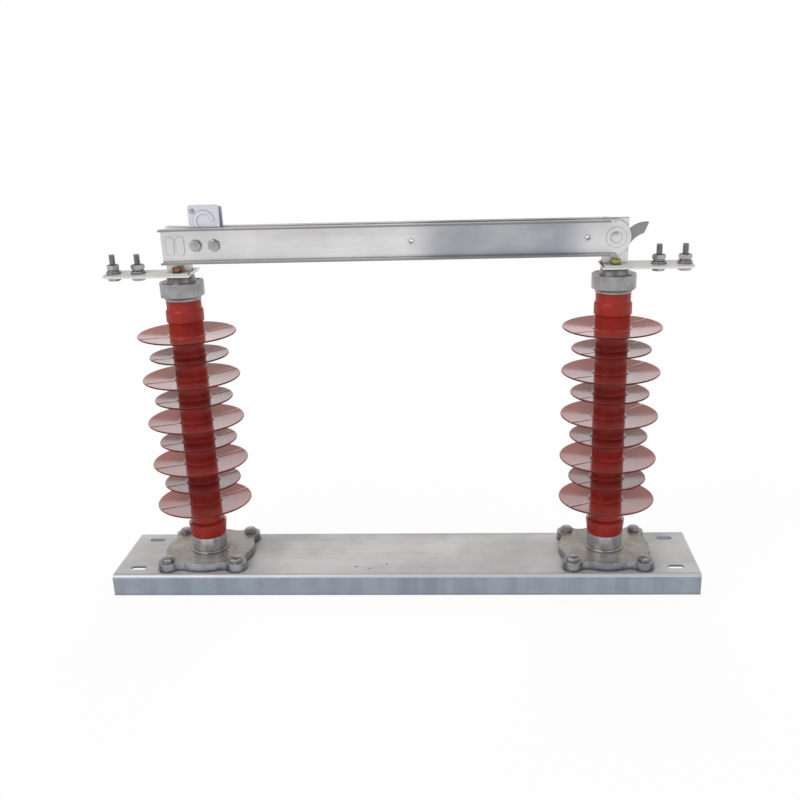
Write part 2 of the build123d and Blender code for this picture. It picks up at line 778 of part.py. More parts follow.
# Pull plates for the hook stick, held between the leaves by the two bolts
front_plate_right = max(bolt_xs) + pull_plate_margin
front_plate_left = front_plate_right - pull_plate_width
front_plate_top = leaf_top + pull_plate_rise
rivet_x = front_plate_left + pull_rivet_inset_x
rivet_z = front_plate_top - pull_rivet_inset_z
for face, facing in (("front", -1), ("back", 1)):
    is_front = face == "front"
    plate_right = front_plate_right + (0 if is_front else back_plate_shift)
    plate_left = plate_right - pull_plate_width
    plate_top = front_plate_top - (0 if is_front else back_plate_lower)
    plate_foot = hinge_z - pull_plate_tongue
    tongue_left = front_plate_left + pull_plate_relief
    ring_x = plate_right - pull_plate_width / 2
    ring_z = plate_top - pull_ring_drop
    with BuildPart() as pull_plate:
        with BuildSketch(Plane.XZ.offset(-facing * leaf_inner)) as plate_outline:
            with BuildLine():
                Polyline(
                    (plate_left, leaf_top),
                    (tongue_left, leaf_top),
                    (tongue_left, plate_foot),
                    (plate_right, plate_foot),
                    (plate_right, plate_top),
                    (plate_left, plate_top),
                    (plate_left, leaf_top),
                )
            make_face()
            fillet(plate_outline.vertices().group_by(Axis.Y)[-1], pull_plate_corner)
            with Locations(*((x, hinge_z) for x in bolt_xs)):
                Circle(blade_bolt_radius + blade_bolt_clearance, mode=Mode.SUBTRACT)
            if is_front:
                with Locations((rivet_x, rivet_z)):
                    Circle(pull_rivet_radius, mode=Mode.SUBTRACT)
        extrude(amount=facing * pull_plate_sheet)
        if is_front:
            with BuildSketch(Plane.XZ.offset(leaf_inner)):
                with Locations((ring_x, ring_z)):
                    Circle(pull_ring_radius)
                    Circle(pull_ring_radius - pull_ring_band, mode=Mode.SUBTRACT)
                with BuildLine():
                    gap_reach = 2 * pull_ring_radius
                    gap_low = radians(pull_ring_gap_to)
                    Polyline(
                        (ring_x, ring_z),
                        (ring_x + gap_reach, ring_z),
                        (ring_x + gap_reach * cos(gap_low), ring_z + gap_reach * sin(gap_low)),
                        (ring_x, ring_z),
                    )
                make_face(mode=Mode.SUBTRACT)
                with Locations((ring_x, leaf_top - pull_ring_radius)):
                    Rectangle(4 * pull_ring_radius, 2 * pull_ring_radius, mode=Mode.SUBTRACT)
            extrude(amount=pull_ring_proud)
    pull_plate.part.label = f"pull_plate_{face}"
    export_step(pull_plate.part, f"parts/pull_plate_{face}.step")

with BuildPart() as pull_rivet:
    with BuildSketch(Plane.XZ.offset(leaf_inner - pull_plate_sheet)):
        with Locations((rivet_x, rivet_z)):
            Circle(pull_rivet_radius)
    extrude(amount=pull_plate_sheet + pull_rivet_proud)
pull_rivet.part.label = "pull_plate_rivet"
export_step(pull_rivet.part, "parts/pull_plate_rivet.step")
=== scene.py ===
# Looks for an outdoor hook-stick disconnect switch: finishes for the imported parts,
# moulded insulator housings, cut and threaded fasteners, a pale floor and soft light.

import json
from math import cos, pi, radians, sin, sqrt, tan

import bmesh
import bpy
from mathutils import Matrix, Vector

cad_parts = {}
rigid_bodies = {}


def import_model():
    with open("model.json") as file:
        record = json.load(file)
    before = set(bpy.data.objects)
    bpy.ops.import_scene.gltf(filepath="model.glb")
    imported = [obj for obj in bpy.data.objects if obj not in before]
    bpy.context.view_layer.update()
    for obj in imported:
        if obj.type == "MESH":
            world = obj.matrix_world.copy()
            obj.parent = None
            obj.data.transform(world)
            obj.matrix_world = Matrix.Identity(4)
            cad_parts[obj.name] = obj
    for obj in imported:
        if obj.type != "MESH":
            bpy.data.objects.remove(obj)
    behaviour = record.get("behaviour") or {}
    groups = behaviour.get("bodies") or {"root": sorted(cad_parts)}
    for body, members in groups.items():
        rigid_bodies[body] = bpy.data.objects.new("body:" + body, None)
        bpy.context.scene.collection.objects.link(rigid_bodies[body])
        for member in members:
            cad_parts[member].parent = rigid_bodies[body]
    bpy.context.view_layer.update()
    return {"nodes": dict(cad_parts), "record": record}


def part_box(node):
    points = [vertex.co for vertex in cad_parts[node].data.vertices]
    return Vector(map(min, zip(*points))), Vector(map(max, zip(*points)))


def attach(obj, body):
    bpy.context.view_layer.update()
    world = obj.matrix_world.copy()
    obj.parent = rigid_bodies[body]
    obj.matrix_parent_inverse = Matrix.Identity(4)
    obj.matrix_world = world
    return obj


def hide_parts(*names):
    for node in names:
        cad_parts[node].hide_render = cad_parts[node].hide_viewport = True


for leftover in list(bpy.data.objects):
    bpy.data.objects.remove(leftover)
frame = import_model()
cadNodes = frame["nodes"]
behaviour = frame["record"]["behaviour"]
slotOf = {part["node"]: part["material_slot"] for part in frame["record"]["subparts"]}
bodyOf = {node: body for body, nodes in behaviour["bodies"].items() for node in nodes}
sideOf = {"left": -1, "right": 1}
mm = 0.001
hingeX, _, hingeHeight = (along * 1000 for along in behaviour["joints"][0]["pos_m"])
insulatorX = hingeX  # the hinge stands over the right insulator, and the left one mirrors it
print("stage: frame loaded")


def camelName(name):
    first, *rest = name.split("_")
    return first + "".join(word.capitalize() for word in rest)


def lowest(node, axis):
    # Where a node's box begins along an axis, in millimetres
    return round(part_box(node)[0]["XYZ".index(axis)] * 1000, 3)


def highest(node, axis):
    return round(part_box(node)[1]["XYZ".index(axis)] * 1000, 3)


def addObject(name, data):
    added = bpy.data.objects.new(name, data)
    bpy.context.scene.collection.objects.link(added)
    return added


# Shader building: a value is a number, a colour or another node's output socket
def clearedTree(owner):
    owner.use_nodes = True
    owner.node_tree.nodes.clear()
    return owner.node_tree


def newMaterial(name):
    material = bpy.data.materials.new(name)
    tree = clearedTree(material)
    output = tree.nodes.new("ShaderNodeOutputMaterial")
    shader = tree.nodes.new("ShaderNodeBsdfPrincipled")
    tree.links.new(shader.outputs["BSDF"], output.inputs["Surface"])
    return material, tree, shader


def plug(tree, socket, value):
    if isinstance(value, bpy.types.NodeSocket):
        tree.links.new(value, socket)
    elif isinstance(value, tuple) and len(value) == 3 and socket.type == "RGBA":
        socket.default_value = (*value, 1)
    else:
        socket.default_value = value


def setInputs(tree, node, **values):
    for key, value in values.items():
        plug(tree, node.inputs[key.replace("_", " ")], value)
    return node


def objectPoint(tree, scale=(1, 1, 1), at=(0, 0, 0), turn=0):
    # Object coordinates measured from a point, turned about Z and then stretched
    coordinates = tree.nodes.new("ShaderNodeTexCoord")
    point = coordinates.outputs["Object"]
    steps = (("Location", [-along for along in at]), ("Rotation", (0, 0, turn)), ("Scale", scale))
    for kind, amount in steps:
        mapping = tree.nodes.new("ShaderNodeMapping")
        mapping.inputs[kind].default_value = amount
        tree.links.new(point, mapping.inputs["Vector"])
        point = mapping.outputs["Vector"]
    return point


def noiseField(tree, scale, detail=4, rough=0.55, stretch=(1, 1, 1)):
    field = tree.nodes.new("ShaderNodeTexNoise")
    point = objectPoint(tree, stretch)
    setInputs(tree, field, Vector=point, Scale=scale, Detail=detail, Roughness=rough)
    return field.outputs["Fac"]


def spangleField(tree, scale, stretch):
    field = tree.nodes.new("ShaderNodeTexVoronoi")
    setInputs(tree, field, Vector=objectPoint(tree, stretch), Scale=scale)
    split = tree.nodes.new("ShaderNodeSeparateColor")
    tree.links.new(field.outputs["Color"], split.inputs["Color"])
    return split.outputs["Red"]


def remapped(tree, value, fromLow, fromHigh, toLow=0.0, toHigh=1.0):
    node = tree.nodes.new("ShaderNodeMapRange")
    node.interpolation_type = "SMOOTHSTEP"
    plug(tree, node.inputs["Value"], value)
    limits = {"From Min": fromLow, "From Max": fromHigh, "To Min": toLow, "To Max": toHigh}
    for key, number in limits.items():
        node.inputs[key].default_value = number
    return node.outputs["Result"]


def mixedColour(tree, factor, first, second):
    node = tree.nodes.new("ShaderNodeMix")
    node.data_type = "RGBA"
    for index, value in ((0, factor), (6, first), (7, second)):
        plug(tree, node.inputs[index], value)
    return node.outputs[2]


def layered(tree, colour, *layers):
    # Lays colours over a first one, each as thick as its factor says
    for factor, upper in layers:
        colour = mixedColour(tree, factor, colour, upper)
    return colour


def computed(tree, how, first, second=0.0):
    node = tree.nodes.new("ShaderNodeMath")
    node.operation = how
    plug(tree, node.inputs[0], first)
    plug(tree, node.inputs[1], second)
    return node.outputs[0]


def product(tree, first, second):
    return computed(tree, "MULTIPLY", first, second)


def bumped(tree, height, strength, distance):
    node = tree.nodes.new("ShaderNodeBump")
    setInputs(tree, node, Height=height, Strength=strength, Distance=distance)
    return node.outputs["Normal"]


def facingUp(tree, low, high):
    # Grows from 0 to 1 as a face turns upwards
    coordinates = tree.nodes.new("ShaderNodeTexCoord")
    split = tree.nodes.new("ShaderNodeSeparateXYZ")
    tree.links.new(coordinates.outputs["Normal"], split.inputs["Vector"])
    return remapped(tree, split.outputs["Z"], low, high)


def leaning(tree, start, full, fading, gone):
    # 1 on the bends between upright and level faces, 0 on both of those
    return product(tree, facingUp(tree, start, full), facingUp(tree, gone, fading))


def awayAlong(tree, axis, **options):
    # How far a point lies from the origin, or from a given place, along one axis, either way
    split = tree.nodes.new("ShaderNodeSeparateXYZ")
    tree.links.new(objectPoint(tree, **options), split.inputs["Vector"])
    return computed(tree, "ABSOLUTE", split.outputs[axis])


def distanceFrom(tree, at=(0, 0, 0), scale=(1, 1, 1)):
    length = tree.nodes.new("ShaderNodeVectorMath")
    length.operation = "LENGTH"
    tree.links.new(objectPoint(tree, scale, at), length.inputs[0])
    return length.outputs["Value"]


def spotAt(tree, x, y, z, radius):
    # A small round mark with a soft edge, in metres
    return remapped(tree, distanceFrom(tree, (x, y, z)), radius * 0.5, radius, 0.8, 0)


def shadeInCorners(tree, reach, depth):
    # Painted shade: grows in inner corners and crevices, where less light reaches
    node = tree.nodes.new("ShaderNodeAmbientOcclusion")
    node.samples = 6
    node.inputs["Distance"].default_value = reach
    return product(tree, remapped(tree, node.outputs["AO"], 0.45, 0.95, 1, 0), depth)


# Finishes: where in a noise field a colour changes, and what part of it roughness follows
patches = (0.35, 0.65)
roughSpread = (0.3, 0.7)
flatOnly = (1, 1, 0)  # measures a distance level, from an upright axis

sheetLook = {
    "clean": (0.30, 0.345, 0.40),
    "cleanDark": (0.235, 0.275, 0.325),
    "dust": (0.67, 0.665, 0.655),
    "dustDark": (0.53, 0.53, 0.51),
    "pink": (0.67, 0.61, 0.605),
    "bright": (0.72, 0.74, 0.80),
    # colour of scuffs and scratches, also used for painted corner shade and a painted dark reflection line
    "mark": (0.17, 0.16, 0.15),
    "spangle": 70, "clouds": 8, "rolling": 60, "streaks": 30, "stain": 14, "scuffs": 30,
    "spangleShare": 0.05, "rollingShare": 0.22, "stainShare": 0.5, "scuffShare": 0.5, "bendShare": 0.6,
    "foldAt": 0.0772, "foldWidth": 0.0014, "foldDepth": 0.6, "foldBreaks": 6,
    "rough": (0.36, 0.52), "bump": 0.12, "bumpHeight": 0.0006, "metallic": 0.8, "metallicAbove": 0.45,
    "dirtReach": 0.006, "dirt": 0.75,
    "scratches": [  # (x, y, z, radius)
        (-0.082, -0.052, 0.038, 0.004), (-0.058, -0.060, 0.038, 0.003), (-0.03, -0.043, 0.038, 0.003),
    ],
}


def bendReflectionLine(tree, look):
    # Painted reflection: a broken dark line along the sheet just inside its bend, standing for something dark
    # mirrored there
    off = computed(tree, "ABSOLUTE", computed(tree, "SUBTRACT", awayAlong(tree, "Y"), look["foldAt"]))
    line = remapped(tree, off, 0, look["foldWidth"], look["foldDepth"], 0)
    line = product(tree, line, facingUp(tree, 0.5, 0.9))
    breaks = noiseField(tree, look["foldBreaks"], 2, stretch=(1, 0.1, 0.1))
    return product(tree, line, remapped(tree, breaks, 0.35, 0.6, 0.25, 1))


def sheetFinish():
    look = sheetLook
    material, tree, shader = newMaterial("galvanisedSheet")
    spangle = spangleField(tree, look["spangle"], (0.4, 1, 1))
    clouds = noiseField(tree, look["clouds"], 5)
    rolling = noiseField(tree, look["rolling"], 3, stretch=(0.04, 1, 1))
    streaks = noiseField(tree, look["streaks"], 3, stretch=(1, 0.1, 0.08))
    stain = noiseField(tree, look["stain"], 3)
    scuffs = noiseField(tree, look["scuffs"], 6, 0.7, (1, 2.4, 1))
    up = facingUp(tree, 0.35, 0.9)
    # painted highlight on the bends between upright and level faces
    bend = leaning(tree, 0.2, 0.4, 0.88, 0.97)
    clean = mixedColour(tree, remapped(tree, streaks, 0.35, 0.7), look["clean"], look["cleanDark"])
    dusty = mixedColour(tree, remapped(tree, clouds, *patches), look["dust"], look["dustDark"])
    dusty = mixedColour(tree, remapped(tree, stain, 0.5, 0.75, 0, look["stainShare"]), dusty, look["pink"])
    colour = layered(
        tree, mixedColour(tree, up, clean, dusty),
        (remapped(tree, spangle, 0, 1, 0, look["spangleShare"]), look["bright"]),
        (remapped(tree, rolling, 0.45, 0.75, 0, look["rollingShare"]), look["cleanDark"]),
        # painted highlight along the bends
        (product(tree, bend, look["bendShare"]), look["bright"]),
        # painted dark reflection just inside the bend
        (bendReflectionLine(tree, look), look["mark"]),
        (remapped(tree, scuffs, 0.69, 0.72, 0, look["scuffShare"]), look["mark"]),
        *((spotAt(tree, *scratch), look["mark"]) for scratch in look["scratches"]),
        # painted shade in inner corners
        (shadeInCorners(tree, look["dirtReach"], look["dirt"]), look["mark"]),
    )
    rough = remapped(tree, clouds, *roughSpread, *look["rough"])
    normal = bumped(tree, computed(tree, "ADD", rolling, clouds), look["bump"], look["bumpHeight"])
    metallic = remapped(tree, up, 0, 1, look["metallic"], look["metallicAbove"])
    setInputs(tree, shader, Base_Color=colour, Metallic=metallic, Roughness=rough, Normal=normal)
    return material


footLook = {
    "lumps": 120, "lumpiness": 0.25, "glints": 0.35, "clouds": 30, "wornEdge": 0.75, "rough": (0.22, 0.36),
    "metallic": 0.85, "metallicAbove": 0.65, "dirtReach": 0.007, "dirt": 0.8,
    "tubeFrom": 0.0555, "tubeShine": 0.5,
    "clean": (0.20, 0.205, 0.235),
    "cleanLight": (0.34, 0.35, 0.38),
    "dust": (0.34, 0.31, 0.28),
    "dustLight": (0.46, 0.44, 0.41),
    "glint": (0.62, 0.62, 0.64),
    "mark": (0.06, 0.055, 0.05),
}
capLook = {
    "lumps": 120, "lumpiness": 0.03, "glints": 0.06, "clouds": 30, "wornEdge": 0.6, "rough": (0.30, 0.34),
    "metallic": 0.85, "metallicAbove": 0.7, "dirtReach": 0.007, "dirt": 0.8,
    "clean": (0.25, 0.245, 0.25),
    "cleanLight": (0.36, 0.355, 0.365),
    "dust": (0.40, 0.38, 0.365),
    "dustLight": (0.52, 0.49, 0.475),
    "glint": (0.62, 0.61, 0.62),
    "mark": (0.08, 0.072, 0.068),
}


def castFinish(name, look):
    material, tree, shader = newMaterial(name)
    lumps = noiseField(tree, look["lumps"], 6, 0.6)
    clouds = noiseField(tree, look["clouds"], 5)
    up = facingUp(tree, 0.5, 0.95)
    clean = mixedColour(tree, remapped(tree, clouds, *patches), look["clean"], look["cleanLight"])
    dusty = mixedColour(tree, remapped(tree, clouds, *patches), look["dust"], look["dustLight"])
    layers = [(remapped(tree, lumps, 0.55, 0.75, 0, look["glints"]), look["glint"])]
    if "tubeFrom" in look:  # the turned tube above the foot is brighter than its plate
        height = awayAlong(tree, "Z")
        tube = remapped(tree, height, look["tubeFrom"], look["tubeFrom"] + 0.001, 0, look["tubeShine"])
        layers.append((tube, look["glint"]))
    # worn edges, and partly a painted highlight on the rounded edges that lean between upright and level
    layers.append((product(tree, leaning(tree, 0.3, 0.5, 0.8, 0.92), look["wornEdge"]), look["glint"]))
    # painted shade in inner corners
    layers.append((shadeInCorners(tree, look["dirtReach"], look["dirt"]), look["mark"]))
    colour = layered(tree, mixedColour(tree, up, clean, dusty), *layers)
    rough = remapped(tree, lumps, *roughSpread, *look["rough"])
    normal = bumped(tree, lumps, look["lumpiness"], 0.001)
    metallic = remapped(tree, up, 0, 1, look["metallic"], look["metallicAbove"])
    setInputs(tree, shader, Base_Color=colour, Metallic=metallic, Roughness=rough, Normal=normal)
    return material


rubberLook = {
    "red": (0.38, 0.024, 0.015),
    "redDeep": (0.30, 0.019, 0.012),
    "seam": (0.06, 0.012, 0.010),
    # rim: painted shade for the shed rims
    "rim": (0.028, 0.008, 0.009),
    "bloom": (0.50, 0.30, 0.27),
    "clouds": 22, "bloomGrain": 60, "bloomShare": (0.08, 0.16), "rimShare": 0.9,
    "seamTurn": 35, "seamEdges": (0.0003, 0.0011), "seamShare": 0.75,
    "shedStart": (0.0272, 0.0302), "rimStart": (0.052, 0.056), "seamStart": (0.0335, 0.036),
    "rough": (0.30, 0.36), "bump": 0.02, "ior": 1.32, "coatIor": 2.1, "coatRough": 0.1,
}


def rubberFinish(side):
    # Deep red; the sheds are coated above, with a little bloom and a painted sheen, and painted shade darkens
    # their rims
    look = rubberLook
    material, tree, shader = newMaterial("redSilicone" + side.capitalize())
    shader.inputs["IOR"].default_value = look["ior"]
    shader.inputs["Coat IOR"].default_value = look["coatIor"]
    shader.inputs["Coat Roughness"].default_value = look["coatRough"]
    axisAt = (sideOf[side] * insulatorX * mm, 0, 0)
    clouds = noiseField(tree, look["clouds"], 4)
    grain = noiseField(tree, look["bloomGrain"], 5, stretch=(1, 1, 0.4))
    across = awayAlong(tree, "Y", at=axisAt, turn=-radians(look["seamTurn"]))
    reach = distanceFrom(tree, axisAt, flatOnly)
    up = product(tree, facingUp(tree, 0.6, 0.9), remapped(tree, reach, *look["shedStart"]))
    # painted shade: rim faces turning away from the light are painted nearly black
    rim = product(tree, facingUp(tree, 0.75, 0.3), remapped(tree, reach, *look["rimStart"]))
    seam = remapped(tree, across, *look["seamEdges"], look["seamShare"], 0)
    colour = layered(
        tree, mixedColour(tree, remapped(tree, clouds, *patches), look["red"], look["redDeep"]),
        # a little bloom on the shed tops, partly a painted sheen
        (product(tree, up, remapped(tree, grain, 0.3, 0.8, *look["bloomShare"])), look["bloom"]),
        # painted shade on the rims
        (product(tree, rim, look["rimShare"]), look["rim"]),
        (product(tree, seam, remapped(tree, reach, *look["seamStart"])), look["seam"]),
    )
    rough = remapped(tree, grain, *roughSpread, *look["rough"])
    normal = bumped(tree, grain, look["bump"], 0.0005)
    setInputs(tree, shader, Base_Color=colour, Roughness=rough, Normal=normal, Coat_Weight=up)
    return material


def brushedFinish(name, look):
    material, tree, shader = newMaterial(name)
    grain = noiseField(tree, look["grain"], 4, stretch=look["stretch"])
    clouds = noiseField(tree, look["clouds"], 4, stretch=(0.7, 1, 1))
    layers = [
        (remapped(tree, clouds, 0.35, 0.68), look["worn"]),
        (remapped(tree, grain, 0.45, 0.8, 0, 0.35), look["worn"]),
    ]
    if "tint" in look:
        layers.append((remapped(tree, noiseField(tree, 24, 3), 0.5, 0.72, 0, 0.6), look["tint"]))
    if "zone" in look:  # painted reflection: a darker stretch with a ragged edge, standing for darker surroundings mirrored in the blade
        middle, reach = look["zoneMiddle"], look["zoneReach"]
        within = remapped(tree, awayAlong(tree, "X", at=(middle, 0, 0)), reach * 0.55, reach, 1, 0)
        layers.append((product(tree, within, remapped(tree, clouds, 0.2, 0.6, 0.6, 1)), look["zone"]))
    if "lip" in look:  # painted shade on the lips' cut edges, painted darker than the faces
        lipFrom = look["lipFrom"]
        layers.append((remapped(tree, awayAlong(tree, "Y"), lipFrom, lipFrom + 0.0008, 0, 0.8), look["lip"]))
    # painted shade in inner corners
    layers.append((shadeInCorners(tree, look["dirtReach"], look["dirt"]), look["mark"]))
    colour = layered(tree, look["colour"], *layers)
    rough = remapped(tree, grain, *roughSpread, *look["rough"])
    normal = bumped(tree, grain, look["bump"], 0.0003)
    metallic = look["metallic"]
    if "metallicAbove" in look:
        metallic = remapped(tree, facingUp(tree, 0.5, 0.95), 0, 1, metallic, look["metallicAbove"])
    setInputs(tree, shader, Base_Color=colour, Metallic=metallic, Roughness=rough, Normal=normal)
    return material


metalLooks = {
    "tinned_copper": {
        "colour": (0.76, 0.73, 0.72), "worn": (0.67, 0.685, 0.64), "tint": (0.73, 0.645, 0.635),
        "mark": (0.14, 0.11, 0.09), "grain": 160, "stretch": (0.3, 0.3, 0.3), "clouds": 26,
        "rough": (0.30, 0.42), "bump": 0.05, "metallic": 0.55, "metallicAbove": 0.35,
        "dirt": 0.75, "dirtReach": 0.004,
    },
    "tinned_blade": {
        "colour": (0.76, 0.75, 0.75), "worn": (0.63, 0.63, 0.64), "tint": (0.69, 0.665, 0.665),
        "mark": (0.13, 0.12, 0.12), "grain": 220, "stretch": (0.02, 1, 1), "clouds": 12,
        "rough": (0.28, 0.40), "bump": 0.06, "metallic": 0.85, "metallicAbove": 0.35,
        "dirt": 0.8, "dirtReach": 0.003,
        # the darker stretch is a painted reflection
        "zone": (0.34, 0.355, 0.395), "zoneMiddle": 0.165, "zoneReach": 0.16,
        # the darker lip edges are painted shade
        "lip": (0.19, 0.18, 0.18), "lipFrom": 0.0212,
    },
    "bright_plate": {
        "colour": (0.71, 0.73, 0.79), "worn": (0.64, 0.67, 0.74), "mark": (0.08, 0.08, 0.10),
        "grain": 120, "stretch": (0.4, 0.4, 0.4), "clouds": 30,
        "rough": (0.30, 0.38), "bump": 0.04, "metallic": 0.8, "dirt": 1.0, "dirtReach": 0.003,
    },
    "plain_steel": {
        "colour": (0.31, 0.30, 0.29), "worn": (0.25, 0.245, 0.24), "mark": (0.05, 0.05, 0.05),
        "grain": 160, "stretch": (0.4, 0.4, 0.4), "clouds": 40,
        "rough": (0.42, 0.52), "bump": 0.06, "metallic": 0.7, "dirt": 0.6, "dirtReach": 0.004,
    },
    "zinc_fastener": {
        "colour": (0.46, 0.46, 0.465), "worn": (0.36, 0.36, 0.37), "mark": (0.13, 0.126, 0.124),
        "grain": 260, "stretch": (1, 1, 1), "clouds": 90,
        "rough": (0.30, 0.46), "bump": 0.12, "metallic": 0.85, "dirt": 0.65, "dirtReach": 0.004,
    },
    "copper_bolt": {
        "colour": (0.42, 0.19, 0.10), "worn": (0.26, 0.11, 0.06), "mark": (0.03, 0.015, 0.01),
        "grain": 260, "stretch": (1, 1, 1), "clouds": 120,
        "rough": (0.22, 0.36), "bump": 0.1, "metallic": 0.9, "dirt": 0.85, "dirtReach": 0.004,
    },
    "yellow_zinc": {
        "colour": (0.42, 0.37, 0.13), "worn": (0.28, 0.25, 0.09), "mark": (0.05, 0.04, 0.02),
        "grain": 260, "stretch": (1, 1, 1), "clouds": 120,
        "rough": (0.24, 0.38), "bump": 0.1, "metallic": 0.9, "dirt": 0.85, "dirtReach": 0.004,
    },
}
finishes = {slotName: brushedFinish(camelName(slotName), look) for slotName, look in metalLooks.items()}
finishes["galvanised_sheet"] = sheetFinish()
finishes["galvanised_casting"] = castFinish("galvanisedCasting", footLook)
capFinish = castFinish("smoothCasting", capLook)
ownFinish = {}  # nodes whose finish isn't the common one of their slot
for side in sideOf:
    ownFinish[f"{side}_top_cap"] = capFinish
    ownFinish[f"{side}_insulator_housing"] = rubberFinish(side)
finishOf = {node: ownFinish.get(node) or finishes[slotOf[node]] for node in cadNodes}
for node, piece in cadNodes.items():
    piece.data.materials.clear()
    piece.data.materials.append(finishOf[node])
print("stage: finishes ready")


# Shells are built in millimetres along their own Z axis, then put in their places
roundSteps = 48
threadSteps = 28
overlap = 1  # how far one shell runs into the next


def upward(x, y, z, turn=0, tip=0):
    # Turned about its own axis, then tipped about X
    standing = Matrix.Translation((x, y, z)) @ Matrix.Rotation(radians(tip), 4, "X")
    return standing @ Matrix.Rotation(radians(turn), 4, "Z")


def backward(x, y, z, turn=0):
    return upward(x, y, z, turn, -90)


def forward(x, y, z, turn=0):
    return upward(x, y, z, turn, 90)


def everything(bm):
    return bm.verts[:] + bm.edges[:] + bm.faces[:]


def spun(bm, geometry, angle, steps, rise=0, closed=False):
    # Turns a section about Z while it rises; a closed one meets its own start
    swept = bmesh.ops.spin(
        bm, geom=geometry, cent=(0, 0, 0), axis=(0, 0, 1), dvec=(0, 0, rise / steps),
        angle=angle, steps=steps, use_merge=closed, use_duplicate=False,
    )
    return swept["geom_last"]


def turnedShell(profile):
    # Spins a profile of (radius, height); a profile clear of the axis closes into a ring
    bm = bmesh.new()
    verts = [bm.verts.new((radius, 0, height)) for radius, height in profile]
    isRing = min(radius for radius, _ in profile) > 0
    for pair in zip(verts, verts[1:] + (verts[:1] if isRing else [])):
        bm.edges.new(pair)
    spun(bm, everything(bm), 2 * pi, roundSteps, closed=True)
    bmesh.ops.remove_doubles(bm, verts=bm.verts, dist=0.001)
    return bm


def cutOff(bm, at, normal):
    # Saws everything beyond a plane away and closes the cut
    cut = bmesh.ops.bisect_plane(
        bm, geom=everything(bm), dist=0.0001, plane_co=at, plane_no=normal, clear_outer=True,
    )
    rim = [part for part in cut["geom_cut"] if isinstance(part, bmesh.types.BMEdge)]
    bmesh.ops.holes_fill(bm, edges=rim, sides=0)


def hexShell(flats, height, bore=0, below=True, above=True):
    # A turned blank with 30 degree chamfers on its ends, then six flats
    faceShare, sink = 0.93, 0.6
    corner = flats / sqrt(3)
    face = flats / 2 * faceShare
    drop = (corner - face) * tan(radians(30))
    outside = [(face, 0), (corner, drop)] if below else [(corner, 0)]
    outside += [(corner, height - drop), (face, height)] if above else [(corner, height)]
    if bore:
        inside = [(bore + sink, height), (bore, height - sink), (bore, sink), (bore + sink, 0)]
        profile = outside + inside
    else:
        profile = [(0, 0)] + outside + [(0, height)]
    bm = turnedShell(profile)
    for k in range(6):
        turn = radians(30 + 60 * k)
        normal = Vector((cos(turn), sin(turn), 0))
        cutOff(bm, normal * flats / 2, normal)
    return bm


def washerShell(outer, inner, thickness):
    edge = min(0.35, thickness / 4)
    return turnedShell([
        (inner, 0), (outer - edge, 0), (outer, edge), (outer, thickness - edge),
        (outer - edge, thickness), (inner, thickness),
    ])


def rodShell(radius, low, high):
    edge = radius * 0.12
    return turnedShell([
        (0, low), (radius - edge, low), (radius, low + edge),
        (radius, high - edge), (radius - edge, high), (0, high),
    ])


def threadShell(radius, pitch, low, high):
    # One run of V-shaped teeth, spun with a rise of one pitch so that the crests join up
    bm = bmesh.new()
    depth = pitch * 0.6
    tooth = ((0, -depth), (0.2, -depth), (0.5, 0), (0.65, 0))  # (share of the pitch, offset)
    count = int((high - low) / pitch) + 4
    verts = [
        bm.verts.new((radius + offset, 0, low + (k - 2 + share) * pitch))
        for k in range(count) for share, offset in tooth
    ]
    for pair in zip(verts, verts[1:]):
        bm.edges.new(pair)
    spun(bm, everything(bm), 2 * pi, threadSteps, pitch)
    bmesh.ops.remove_doubles(bm, verts=bm.verts, dist=0.001)
    cutOff(bm, (0, 0, low), (0, 0, -1))
    cutOff(bm, (0, 0, high), (0, 0, 1))
    chamfer = 0.9
    for vert in bm.verts:  # the turned lead-in at the free end
        limit = radius - max(0, vert.co.z - high + chamfer)
        reach = vert.co.xy.length
        if reach > limit:
            vert.co.xy *= limit / reach
    return bm


def coilShell(radius, wire, rise, turns):
    # Round wire wound about the axis
    bm = bmesh.new()
    bmesh.ops.create_circle(bm, cap_ends=True, segments=10, radius=wire)
    bmesh.ops.rotate(bm, verts=bm.verts, cent=(0, 0, 0), matrix=Matrix.Rotation(pi / 2, 3, "X"))
    bmesh.ops.translate(bm, verts=bm.verts, vec=(radius, 0, 0))
    spun(bm, everything(bm), 2 * pi * turns, threadSteps * turns, rise)
    return bm


def splitWasherShell(outer, inner, thickness):
    # A spring washer: a square section wound almost once round, its ends a little apart
    bm = bmesh.new()
    wire, rounding = thickness * 0.8, thickness * 0.12
    almostRound, steps = radians(346), 44
    corners = ((inner, 0), (outer, 0), (outer, wire), (inner, wire))
    bm.faces.new([bm.verts.new((radius, 0, height)) for radius, height in corners])
    bmesh.ops.bevel(
        bm, geom=bm.verts[:], offset=rounding, offset_type="OFFSET", affect="VERTICES",
        segments=2, profile=0.5, material=-1,
    )
    spun(bm, everything(bm), almostRound, steps, thickness - wire)
    return bm


def finishPiece(bm, node, smooth=32):
    name = camelName(node)
    mesh = bpy.data.meshes.new(name)
    bm.to_mesh(mesh)
    bm.free()
    for face in mesh.polygons:
        face.use_smooth = True
    mesh.set_sharp_from_angle(angle=radians(smooth))
    mesh.materials.append(finishOf[node])
    piece = addObject(name, mesh)
    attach(piece, bodyOf[node])
    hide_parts(node)
    return piece


def assembled(node, shells, smooth=32):
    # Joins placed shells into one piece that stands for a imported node
    whole = bmesh.new()
    for shell, matrix in shells:
        bmesh.ops.recalc_face_normals(shell, faces=shell.faces)
        shell.transform(Matrix.Scale(mm, 4) @ matrix)
        part = bpy.data.meshes.new("part")
        shell.to_mesh(part)
        whole.from_mesh(part)
        shell.free()
        bpy.data.meshes.remove(part)
    return finishPiece(whole, node, smooth)


